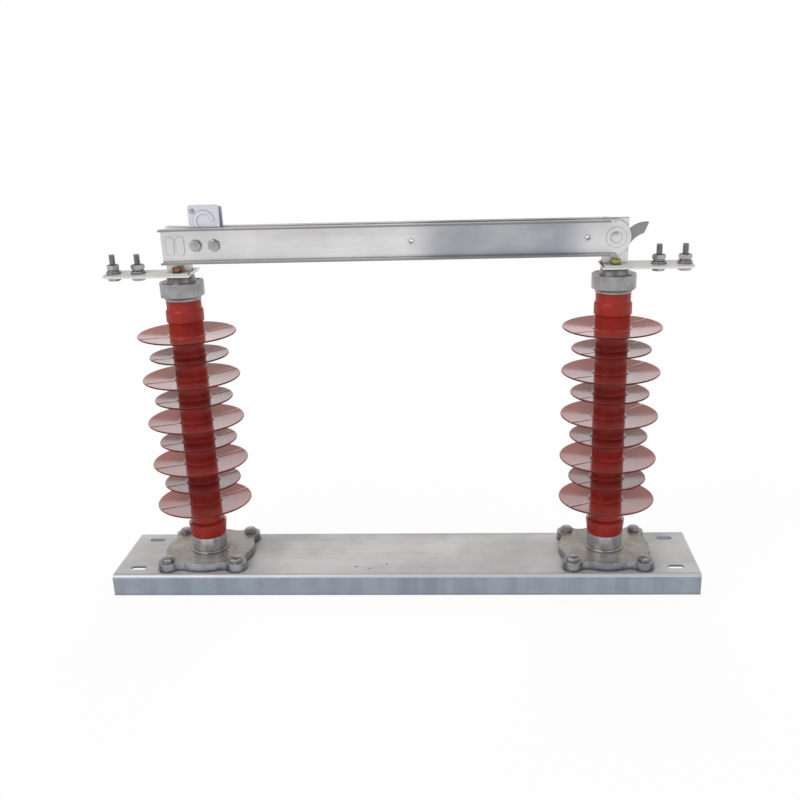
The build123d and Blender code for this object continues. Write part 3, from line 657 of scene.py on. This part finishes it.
# Insulator housings: one turned profile with the mould's parting line along both sides
housing = {
    "steps": 60,
    "column": 26, "neck": 28.2, "band": 30.6, "bandFrom": 466, "bandTo": 487.4, "bandSlope": 3,
    "bottom": lowest("left_insulator_housing", "Z"), "top": highest("left_insulator_housing", "Z"),
    "cuffBottom": 30, "cuff": 33, "cuffTop": 105, "shoulderTop": 107.5,
    "large": highest("left_insulator_housing", "Y"), "small": 65, "rim": 2.6, "root": 7,
    "largeDish": 4.8, "smallDish": 3.3,
    "firstShed": 144.7, "pitch": 75.1, "smallRise": 38, "largeSheds": 5,
    "rootRound": 4, "rimRound": 1.2, "edgeRound": 1.6, "shoulderRound": 2, "cornerRound": 0.5,
    "rootLoop": 6, "rimLoop": 2.2,
    "ringDepth": 0.15, "ringWidth": 1.4, "ringFromRoot": 7,
    "seamHalfWidth": 0.5, "seamHeight": 0.3, "seamTurn": 0.6, "seamFrom": 20, "seamEnd": 79.5,
}


def grooveAt(low):
    # A shallow ring left by the mould round the column
    middle = low + housing["ringWidth"] / 2
    column = housing["column"]
    bottom = column - housing["ringDepth"]
    return [(column, low, 0), (bottom, middle, 0), (column, low + housing["ringWidth"], 0)]


def loopsBetween(start, end, fromStart, fromEnd):
    # Two plain loops on a slope, so that its shading follows the slope right up to the rounded corners
    run = Vector(end) - Vector(start)
    near, far = Vector(start) + run.normalized() * fromStart, Vector(end) - run.normalized() * fromEnd
    return [(near.x, near.y, 0), (far.x, far.y, 0)]


def shedPoints(k, landing):
    # One shed with the mould's ring below it, up to where it lands on the column or the neck
    h = housing
    isLarge = k % 2 == 0
    reach, dish = (h["large"], h["largeDish"]) if isLarge else (h["small"], h["smallDish"])
    rim = h["firstShed"] + (k // 2) * h["pitch"] + (0 if isLarge else h["smallRise"])
    rootTop = rim + h["rim"] / 2 - dish
    rootBottom = rootTop - h["root"]
    root, top = (h["column"], rootBottom), (landing, rootTop)
    under, over = (reach, rim - h["rim"] / 2), (reach, rim + h["rim"] / 2)
    points = grooveAt(rootBottom - h["ringFromRoot"] - h["ringWidth"])
    points += [(*root, h["rootRound"]), *loopsBetween(root, under, h["rootLoop"], h["rimLoop"])]
    points += [(*under, h["rimRound"]), (*over, h["rimRound"])]
    points += [*loopsBetween(over, top, h["rimLoop"], h["rootLoop"]), (*top, h["rootRound"])]
    return points, rootTop


def housingProfile():
    # (radius, height, rounding) from the middle of the bottom to the middle of the top
    h = housing
    points = [
        (0, h["bottom"], 0), (h["cuffBottom"], h["bottom"], h["cornerRound"]),
        (h["cuff"], h["cuffTop"], h["edgeRound"]), (h["column"], h["shoulderTop"], h["shoulderRound"]),
    ]
    lastShed = 2 * h["largeSheds"] - 2
    for k in range(lastShed):
        shed, rootTop = shedPoints(k, h["column"])
        points += shed + grooveAt(rootTop + h["ringFromRoot"])
    points += shedPoints(lastShed, h["neck"])[0]
    points += [
        (h["neck"], h["bandFrom"], h["cornerRound"]), (h["band"], h["bandFrom"], h["edgeRound"]),
        (h["band"], h["bandTo"] - h["bandSlope"], h["edgeRound"]), (h["neck"], h["bandTo"], h["cornerRound"]),
        (h["neck"], h["top"], h["cornerRound"]), (0, h["top"], 0),
    ]
    return points


def raiseSeam(bm, turn, narrow):
    # Widens the two narrow strips of the spin to one width and lifts the line between them
    h = housing
    along = Vector((cos(turn), sin(turn), 0))
    across = Vector((-sin(turn), cos(turn), 0))
    for vert in bm.verts:
        run, offset = vert.co.dot(along), vert.co.dot(across)
        if abs(run) < h["seamFrom"]:
            continue
        if abs(offset) < 0.01:
            if vert.co.xy.length < h["seamEnd"]:
                vert.co += vert.normal * h["seamHeight"]
        elif abs(offset) < abs(run) * tan(narrow) * 1.2:  # on either side of the line
            halfWidth = h["seamHalfWidth"] if offset > 0 else -h["seamHalfWidth"]
            vert.co += across * (halfWidth - offset)


def insulatorHousing(side):
    bm = bmesh.new()
    rounding = {}
    verts = []
    for radius, height, size in housingProfile():
        vert = bm.verts.new((radius, 0, height))
        verts.append(vert)
        if size:
            rounding.setdefault(size, []).append(vert)
    for pair in zip(verts, verts[1:]):
        bm.edges.new(pair)
    for size, corners in rounding.items():
        bmesh.ops.bevel(
            bm, geom=corners, offset=size, offset_type="OFFSET", affect="VERTICES",
            segments=4 if size > 1 else 2, profile=0.5, material=-1,
        )
    turn, narrow = radians(rubberLook["seamTurn"]), radians(housing["seamTurn"])
    bmesh.ops.rotate(bm, verts=bm.verts, cent=(0, 0, 0), matrix=Matrix.Rotation(turn, 3, "Z"))
    geometry = everything(bm)
    for angle, steps in ((narrow, 1), (pi - 2 * narrow, housing["steps"]), (narrow, 1)) * 2:
        geometry = spun(bm, geometry, angle, steps)
    bmesh.ops.remove_doubles(bm, verts=bm.verts, dist=0.01)
    bmesh.ops.recalc_face_normals(bm, faces=bm.faces)
    bm.normal_update()
    raiseSeam(bm, turn, narrow)
    assembled(f"{side}_insulator_housing", [(bm, upward(sideOf[side] * insulatorX, 0, 0))], 40)


for side in sideOf:
    insulatorHousing(side)
print("stage: insulator housings turned")


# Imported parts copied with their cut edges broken
def softenedCopy(node, width):
    bm = bmesh.new()
    bm.from_mesh(cadNodes[node].data)
    bmesh.ops.remove_doubles(bm, verts=bm.verts, dist=0.00001)
    bmesh.ops.dissolve_limit(
        bm, angle_limit=radians(0.5), verts=bm.verts, edges=bm.edges, use_dissolve_boundaries=False,
    )
    corners = [edge for edge in bm.edges if edge.is_manifold and edge.calc_face_angle(0) > radians(30)]
    bmesh.ops.bevel(
        bm, geom=corners, offset=width * mm, offset_type="OFFSET", affect="EDGES",
        segments=2, profile=0.5, material=-1, clamp_overlap=True,
    )
    piece = finishPiece(bm, node, 35)
    even = piece.modifiers.new("evenShading", "WEIGHTED_NORMAL")
    even.weight = 80
    even.keep_sharp = True


brokenEdges = {
    "base_channel": 0.5, "left_foot_flange": 1.5, "right_foot_flange": 1.5,
    "left_top_cap": 2, "right_top_cap": 2, "left_terminal_bar": 0.5, "right_terminal_bar": 0.5,
    "contact_angle_front": 0.5, "contact_angle_back": 0.5, "hinge_angle_front": 0.5, "hinge_angle_back": 0.5,
    "contact_core_plate": 0.4, "hinge_core_plate": 0.4, "blade_leaf_front": 0.5, "blade_leaf_back": 0.5,
    "pull_plate_front": 0.35, "pull_plate_back": 0.35,
}
for node, width in brokenEdges.items():
    softenedCopy(node, width)
print("stage: edges broken")

# Flange bolts: heads on washers above, nuts below the sheet
flangeBolt = {
    "radius": 6, "rod": 5.7, "bore": 5.8, "pitch": 1.75, "flats": 18, "head": 6, "nut": 10,
    "washerRadius": 10.8, "washer": 1.5, "spread": (60, 58), "flangeTop": 52.5, "sheetUnderside": 34,
    "turns": {"left": (12, 40, 25, 3), "right": (35, 8, 50, 20)}, "nutTurn": 20,
}
for side, direction in sideOf.items():
    b = flangeBolt
    shells = []
    corners = [(-1, -1), (1, -1), (-1, 1), (1, 1)]
    nutBottom = b["sheetUnderside"] - b["nut"]
    headBottom = b["flangeTop"] + b["washer"]
    for (alongX, alongY), turn in zip(corners, b["turns"][side]):
        x = direction * insulatorX + alongX * b["spread"][0]
        y = alongY * b["spread"][1]
        shells += [
            (washerShell(b["washerRadius"], b["bore"], b["washer"]), upward(x, y, b["flangeTop"])),
            (hexShell(b["flats"], b["head"], below=False), upward(x, y, headBottom, turn)),
            (hexShell(b["flats"], b["nut"], b["bore"]), upward(x, y, nutBottom, turn + b["nutTurn"])),
            (rodShell(b["rod"], nutBottom + 2 * overlap, headBottom + overlap), upward(x, y, 0)),
            (threadShell(b["radius"], b["pitch"], 0, b["nut"]), upward(x, y, b["sheetUnderside"], tip=180)),
        ]
    assembled(f"{side}_flange_bolts", shells)

# Terminal studs: heads below the bar, flat and spring washers, nuts, free threads for a lug
stud = {
    "radius": 5, "shank": 4.8, "pitch": 1.5, "flats": 19, "head": 8, "nut": 8,
    "washerRadius": 11.8, "washer": 2, "washerGap": 0.1, "springRadius": 9, "spring": 2.6,
    "barBottom": lowest("left_terminal_bar", "Z"), "barTop": lowest("left_terminal_washers", "Z"),
    "top": highest("left_terminal_bolts", "Z"), "reaches": (69.5, 110.5),
    "turns": {"left": (18, 50), "right": (5, 34)}, "headTurn": 11, "springTurns": 3,
}
for side, direction in sideOf.items():
    s = stud
    bolts, washers, nuts = [], [], []
    springAt = s["barTop"] + 2 * s["washer"]
    nutAt = springAt + s["spring"]
    threadAt = nutAt + overlap
    headAt = s["barBottom"] - s["head"]
    for reach, turn in zip(s["reaches"], s["turns"][side]):
        x = direction * (insulatorX + reach)
        bolts += [
            (hexShell(s["flats"], s["head"], above=False), upward(x, 0, headAt, turn + s["headTurn"])),
            (rodShell(s["shank"], s["barBottom"] - overlap, threadAt + overlap), upward(x, 0, 0)),
            (threadShell(s["radius"], s["pitch"], threadAt, s["top"]), upward(x, 0, 0)),
        ]
        for k in range(2):
            flat = washerShell(s["washerRadius"], s["shank"], s["washer"] - s["washerGap"])
            washers.append((flat, upward(x, 0, s["barTop"] + k * s["washer"])))
        spring = splitWasherShell(s["springRadius"], s["shank"], s["spring"])
        nuts += [
            (spring, upward(x, 0, springAt, turn * s["springTurns"])),
            (hexShell(s["flats"], s["nut"], s["shank"]), upward(x, 0, nutAt, turn)),
        ]
    for kind, shells in (("bolts", bolts), ("washers", washers), ("nuts", nuts)):
        assembled(f"{side}_terminal_{kind}", shells)

# Bolts that hold the contacts down
holdDown = {
    "radius": 4, "bore": 3.9, "flats": 13, "head": 5.5, "washerRadius": 7.6, "washer": 1.6,
    "lockRadius": 6.5, "lock": 1.8, "offset": 16.5,
    "foot": lowest("contact_hold_down_bolts", "Z"), "footTop": 548.5,
    "turns": {"contact": (14, 40), "hinge": (28, 6)}, "lockTurns": 5,
}
for upright, direction in (("contact", -1), ("hinge", 1)):
    b = holdDown
    shells = []
    x = direction * insulatorX
    lockAt = b["footTop"] + b["washer"]
    headAt = lockAt + b["lock"]
    for y, turn in zip((-b["offset"], b["offset"]), b["turns"][upright]):
        lock = splitWasherShell(b["lockRadius"], b["bore"], b["lock"])
        shells += [
            (rodShell(b["radius"], b["foot"], headAt + overlap), upward(x, y, 0)),
            (washerShell(b["washerRadius"], b["bore"], b["washer"]), upward(x, y, b["footTop"])),
            (lock, upward(x, y, lockAt, turn * b["lockTurns"])),
            (hexShell(b["flats"], b["head"], below=False), upward(x, y, headAt, turn)),
        ]
    assembled(f"{upright}_hold_down_bolts", shells)

# Bolts that press the leaves together, with coil springs at the back
pressure = {
    "radius": 5, "rod": 4.8, "bore": 4.9, "pitch": 1.5, "flats": 16.4, "head": 5, "nut": 8, "end": 3,
    "coilRadius": 7.4, "wire": 1.05, "spring": 9, "coils": 3, "face": 10,
    "bolts": ((-317.4, 0), (-287.8, 30)),
}
p = pressure
bolts, nuts = [], []
nutAt = p["face"] + p["spring"]
threadEnd = nutAt + p["nut"] + p["end"]
travel = p["spring"] - 2 * p["wire"]
for x, turn in p["bolts"]:
    onAxis = backward(x, 0, hingeHeight)
    bolts += [
        (hexShell(p["flats"], p["head"], below=False), forward(x, -p["face"], hingeHeight, turn)),
        (rodShell(p["rod"], -p["face"] - overlap, p["face"] + overlap), onAxis),
        (threadShell(p["radius"], p["pitch"], p["face"], threadEnd), onAxis),
    ]
    coil = coilShell(p["coilRadius"], p["wire"], travel, p["coils"])
    nuts += [
        (coil, backward(x, p["face"] + p["wire"], hingeHeight)),
        (hexShell(p["flats"], p["nut"], p["bore"]), backward(x, nutAt, hingeHeight)),
    ]
assembled("blade_pressure_bolts", bolts)
assembled("blade_pressure_nuts", nuts)

# Hinge pin with its low head in front, washer and nut at the back
hingePin = {
    "radius": 6, "bore": 5.9, "pitch": 1.75, "flats": 15.5, "head": 2.5, "face": 11,
    "washerRadius": 13, "washer": 2, "nutFlats": 18, "nut": 9, "end": 3, "nutTurn": 17,
}
p = hingePin
nutAt = p["face"] + p["washer"]
threadEnd = nutAt + p["nut"] + p["end"]
onAxis = backward(hingeX, 0, hingeHeight)
assembled("hinge_pin", [
    (hexShell(p["flats"], p["head"], below=False), forward(hingeX, -p["face"], hingeHeight)),
    (rodShell(p["radius"], -p["face"] - overlap, p["face"] + overlap), onAxis),
    (threadShell(p["radius"], p["pitch"], p["face"], threadEnd), onAxis),
])
assembled("hinge_nut", [
    (washerShell(p["washerRadius"], p["radius"], p["washer"]), backward(hingeX, p["face"], hingeHeight)),
    (hexShell(p["nutFlats"], p["nut"], p["bore"]), backward(hingeX, nutAt, hingeHeight, p["nutTurn"])),
])

# Hollow rivets that keep the leaves apart, their rims rolled over
spacer = {
    "radius": 7, "tube": 5, "bore": 3.1, "inner": 7, "end": highest("middle_spacer", "Y"), "edge": 0.4,
    "rolled": ((0, 1), (0.4, 0.25), (1, 0), (1.7, 0.2), (2, 0.8)),  # (outward, down), in halves of the wall
}
for node in ("hinge_end_spacer", "middle_spacer"):
    s = spacer
    x = (lowest(node, "X") + highest(node, "X")) / 2
    roll = (s["tube"] - s["bore"]) / 2
    half = [(s["bore"] + roll * outward, s["end"] - roll * down) for outward, down in s["rolled"]]
    half += [
        (s["tube"], s["inner"]), (s["radius"] - s["edge"], s["inner"]),
        (s["radius"], s["inner"] - s["edge"]),
    ]
    profile = half + [(radius, -height) for radius, height in reversed(half)]
    assembled(node, [(turnedShell(profile), backward(x, 0, hingeHeight))])

# Domed rivet in the pull plate
pullRivet = {
    "radius": 4, "x": -318.8, "height": 643.95,
    "back": highest("pull_plate_rivet", "Y"), "front": lowest("pull_plate_rivet", "Y"),
    "crown": ((0, 1.1), (0.5, 0.4), (1.6, 0)),  # (inward, down)
}
r = pullRivet
dome = r["back"] - r["front"]
crown = [(r["radius"] - inward, dome - down) for inward, down in r["crown"]]
domed = turnedShell([(0, 0), (r["radius"], 0), *crown, (0, dome)])
assembled("pull_plate_rivet", [(domed, forward(r["x"], r["back"], r["height"]))])
print("stage: fasteners made")

# Camera
cameraPlace = {
    "at": (0.125372, -1.543232, 0.818783),
    "right": (0.99854472, 0.04647281, -0.02736261),
    "up": (0.01049831, 0.33016283, 0.94386561),
    "back": (0.05289820, -0.94277929, 0.32919447),
    "lens": 43.412, "shift": (-0.02936, 0.03028), "sensor": 36,
}
camera = addObject("camera", bpy.data.cameras.new("camera"))
axes = Matrix((cameraPlace["right"], cameraPlace["up"], cameraPlace["back"])).transposed()
camera.matrix_world = Matrix.Translation(cameraPlace["at"]) @ axes.to_4x4()
camera.data.sensor_width = cameraPlace["sensor"]
camera.data.lens = cameraPlace["lens"]
camera.data.shift_x, camera.data.shift_y = cameraPlace["shift"]
bpy.context.scene.camera = camera


# Floor and light
def seenDirectly(tree):
    # 1 for camera, glossy and transmission rays, 0 for those that light the object
    path = tree.nodes.new("ShaderNodeLightPath")
    seen = computed(tree, "MAXIMUM", path.outputs["Is Camera Ray"], path.outputs["Is Glossy Ray"])
    return computed(tree, "MAXIMUM", seen, path.outputs["Is Transmission Ray"])


def surfaceMix(tree, kind, factor, first, second):
    output = tree.nodes.new(kind)
    mix = tree.nodes.new("ShaderNodeMixShader")
    for socket, value in zip(mix.inputs, (factor, first, second)):
        plug(tree, socket, value)
    tree.links.new(mix.outputs[0], output.inputs["Surface"])


def whiteGlow(tree, strength):
    glow = tree.nodes.new("ShaderNodeEmission")
    return setInputs(tree, glow, Color=(1, 1, 1), Strength=strength).outputs[0]


def backdropPiece(bm, name, material):
    mesh = bpy.data.meshes.new(name)
    bm.to_mesh(mesh)
    bm.free()
    mesh.materials.append(material)
    return addObject(name, mesh)


# The floor keeps a faint shadow near the object and turns plain white farther off
floorLook = {
    "size": 30, "colour": (0.9, 0.9, 0.9), "glow": 1.0,
    "share": 0.92, "clearFrom": 0.9, "clearTo": 2.6,  # the share of plain white, and where it grows to 1
}
floorMaterial = bpy.data.materials.new("paleFloor")
tree = clearedTree(floorMaterial)
matt = setInputs(tree, tree.nodes.new("ShaderNodeBsdfDiffuse"), Color=floorLook["colour"])
away = distanceFrom(tree, scale=flatOnly)
clear = remapped(tree, away, floorLook["clearFrom"], floorLook["clearTo"], floorLook["share"], 1)
share = product(tree, seenDirectly(tree), clear)
surfaceMix(tree, "ShaderNodeOutputMaterial", share, matt.outputs[0], whiteGlow(tree, floorLook["glow"]))
bm = bmesh.new()
bmesh.ops.create_grid(bm, x_segments=1, y_segments=1, size=floorLook["size"])
floor = backdropPiece(bm, "floor", floorMaterial)

# A pale sweep all round, seen only as reflections, with a duller room above it
sweepLook = {"radius": 1.75, "height": 0.86, "glow": 1.0, "steps": 96}
sweepMaterial = bpy.data.materials.new("paleSweep")
tree = clearedTree(sweepMaterial)
output = tree.nodes.new("ShaderNodeOutputMaterial")
tree.links.new(whiteGlow(tree, sweepLook["glow"]), output.inputs["Surface"])
bm = bmesh.new()
bmesh.ops.create_circle(bm, segments=sweepLook["steps"], radius=sweepLook["radius"])
raised = bmesh.ops.extrude_edge_only(bm, edges=bm.edges[:])
risen = [part for part in raised["geom"] if isinstance(part, bmesh.types.BMVert)]
bmesh.ops.translate(bm, verts=risen, vec=(0, 0, sweepLook["height"]))
sweep = backdropPiece(bm, "sweep", sweepMaterial)
for kind in ("camera", "diffuse", "shadow", "transmission", "volume_scatter"):
    setattr(sweep, "visible_" + kind, False)

# The world is white where it is looked at, a duller room in reflections, and a cool fill as light
worldLook = {
    "fill": 0.62, "fillColour": (0.94, 0.97, 1.0),
    "white": (1.0, 1.0, 1.0), "room": (0.38, 0.33, 0.30),
}
world = bpy.data.worlds.new("studio")
tree = clearedTree(world)
fill = tree.nodes.new("ShaderNodeBackground")
setInputs(tree, fill, Color=worldLook["fillColour"], Strength=worldLook["fill"])
path = tree.nodes.new("ShaderNodeLightPath")
around = mixedColour(tree, path.outputs["Is Glossy Ray"], worldLook["white"], worldLook["room"])
seen = setInputs(tree, tree.nodes.new("ShaderNodeBackground"), Color=around, Strength=1.0)
surfaceMix(tree, "ShaderNodeOutputWorld", seenDirectly(tree), fill.outputs[0], seen.outputs[0])
bpy.context.scene.world = world

# Lamps; the one behind isn't mirrored, as its image would lie on the sheds and the base
lamps = {
    "keyLight": {"at": (-1.6, -1.6, 2.6), "size": 1.8, "watts": 34, "colour": (1, 0.98, 0.95)},
    "fillLight": {"at": (2.0, -1.8, 1.6), "size": 2.0, "watts": 10, "colour": (0.9, 0.95, 1)},
    "backLight": {"at": (0.3, 2.6, 2.2), "size": 2.4, "watts": 40, "colour": (1, 1, 1), "mirrored": False},
}
lampAim = Vector((0, 0, 0.35))
for name, lamp in lamps.items():
    light = bpy.data.lights.new(name, "AREA")
    light.shape = "SQUARE"
    light.size = lamp["size"]
    light.energy = lamp["watts"]
    light.color = lamp["colour"]
    holder = addObject(name, light)
    at = Vector(lamp["at"])
    turn = (lampAim - at).to_track_quat("-Z", "Y").to_matrix().to_4x4()
    holder.matrix_world = Matrix.Translation(at) @ turn
    holder.visible_glossy = lamp.get("mirrored", True)
bpy.context.scene.view_settings.view_transform = "Standard"
print("stage: camera, floor and light set")
